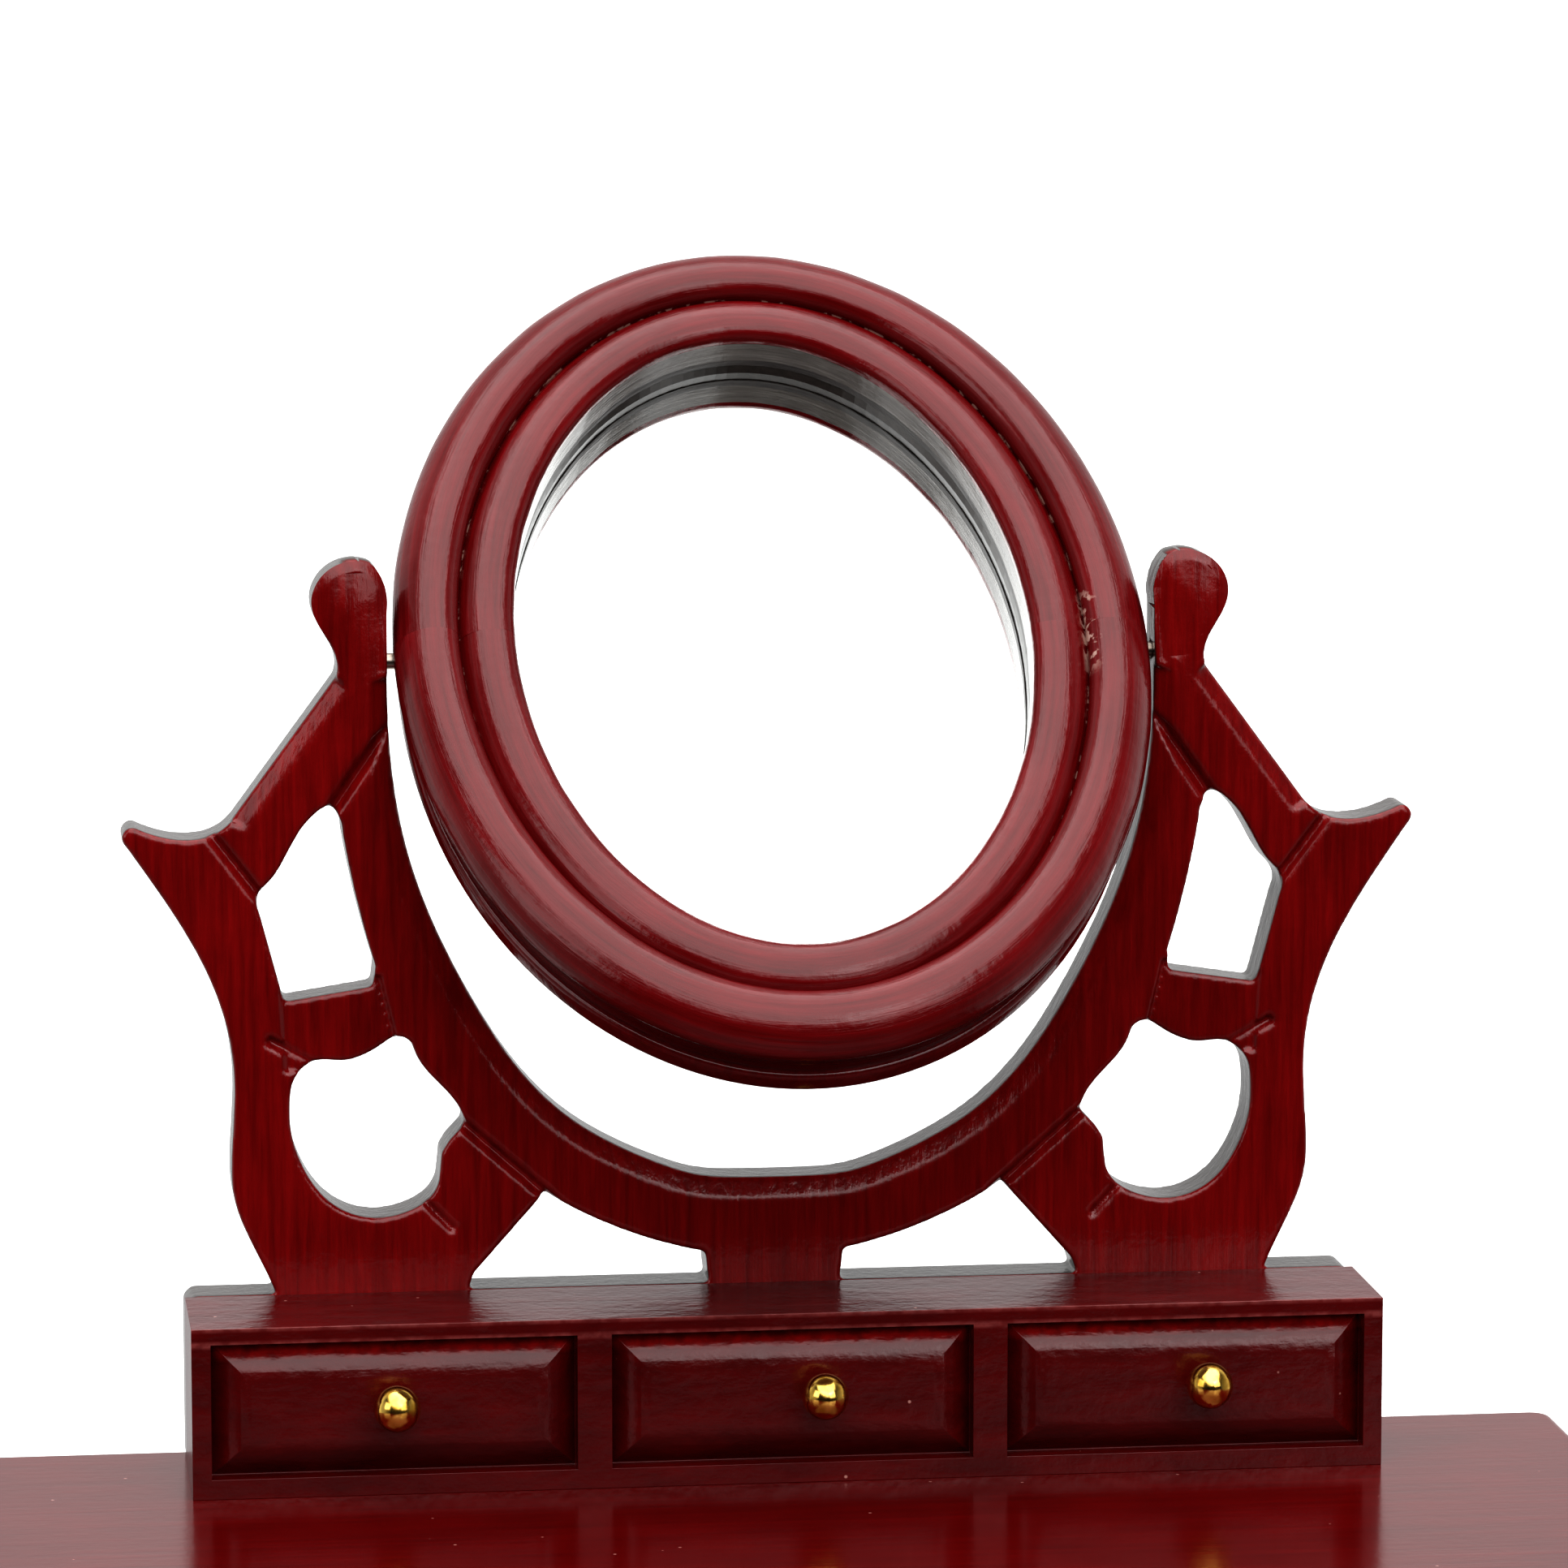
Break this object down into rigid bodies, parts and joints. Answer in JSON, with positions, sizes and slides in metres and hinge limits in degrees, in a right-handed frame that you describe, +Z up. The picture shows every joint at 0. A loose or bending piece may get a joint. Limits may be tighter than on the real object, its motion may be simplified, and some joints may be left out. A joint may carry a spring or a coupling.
{
  "type": "miniature dressing table",
  "caption": "Dolls house kneehole dressing table on cabriole legs, with sliding drawers and an oval mirror that tilts on a carved fretwork stand.",
  "frame": {"origin": "on the floor under the middle of the whole piece's box, the mirror tilted back as it rests", "axes": "+Z up, +X to the right as seen from the front, front of the table at -Y"},
  "size_m": [0.0904, 0.0594, 0.1289],
  "materials": {
    "mahogany_lacquer": "high-gloss red mahogany lacquer",
    "drawer_wood": "thinly stained, unpolished",
    "brass": "polished",
    "steel_pin": "plain wire",
    "silvered_glass": "mirror"
  },
  "bodies": {
    "carcase": {"back_panel": "mahogany_lacquer", "box_block": "mahogany_lacquer", "box_knob_centre": "brass", "box_knob_left": "brass", "box_knob_right": "brass", "divider_left": "mahogany_lacquer", "divider_right": "mahogany_lacquer", "drawer_floor_centre": "drawer_wood", "drawer_floor_left": "drawer_wood", "drawer_floor_right": "drawer_wood", "front_apron": "mahogany_lacquer", "front_top_rail": "mahogany_lacquer", "leg_front_left": "mahogany_lacquer", "leg_front_right": "mahogany_lacquer", "leg_rear_left": "mahogany_lacquer", "leg_rear_right": "mahogany_lacquer", "mirror_stand": "mahogany_lacquer", "pivot_pin_left": "steel_pin", "pivot_pin_right": "steel_pin", "side_panel_left": "mahogany_lacquer", "side_panel_right": "mahogany_lacquer", "table_top": "mahogany_lacquer"},
    "mirror": {"mirror_backboard": "mahogany_lacquer", "mirror_frame_lower": "mahogany_lacquer", "mirror_frame_upper": "mahogany_lacquer", "mirror_glass": "silvered_glass"},
    "drawer_left": {"drawer_left_back": "drawer_wood", "drawer_left_bottom": "drawer_wood", "drawer_left_front": "mahogany_lacquer", "drawer_left_knob": "brass", "drawer_left_side_left": "drawer_wood", "drawer_left_side_right": "drawer_wood"},
    "drawer_centre": {"drawer_centre_back": "drawer_wood", "drawer_centre_bottom": "drawer_wood", "drawer_centre_front": "mahogany_lacquer", "drawer_centre_knob": "brass", "drawer_centre_side_left": "drawer_wood", "drawer_centre_side_right": "drawer_wood"},
    "drawer_right": {"drawer_right_back": "drawer_wood", "drawer_right_bottom": "drawer_wood", "drawer_right_front": "mahogany_lacquer", "drawer_right_knob": "brass", "drawer_right_side_left": "drawer_wood", "drawer_right_side_right": "drawer_wood"}
  },
  "joints": [
    {"name": "mirror_tilt", "type": "hinge", "parent": "carcase", "child": "mirror", "pos_m": [0, 0.00884, 0.1077], "axis": [1, 0, 0], "continuous": true},
    {"name": "drawer_left_slide", "type": "slide", "parent": "carcase", "child": "drawer_left", "axis": [0, -1, 0], "range_m": [0, 0.024]},
    {"name": "drawer_centre_slide", "type": "slide", "parent": "carcase", "child": "drawer_centre", "axis": [0, -1, 0], "range_m": [0, 0.024]},
    {"name": "drawer_right_slide", "type": "slide", "parent": "carcase", "child": "drawer_right", "axis": [0, -1, 0], "range_m": [0, 0.024]}
  ]
}
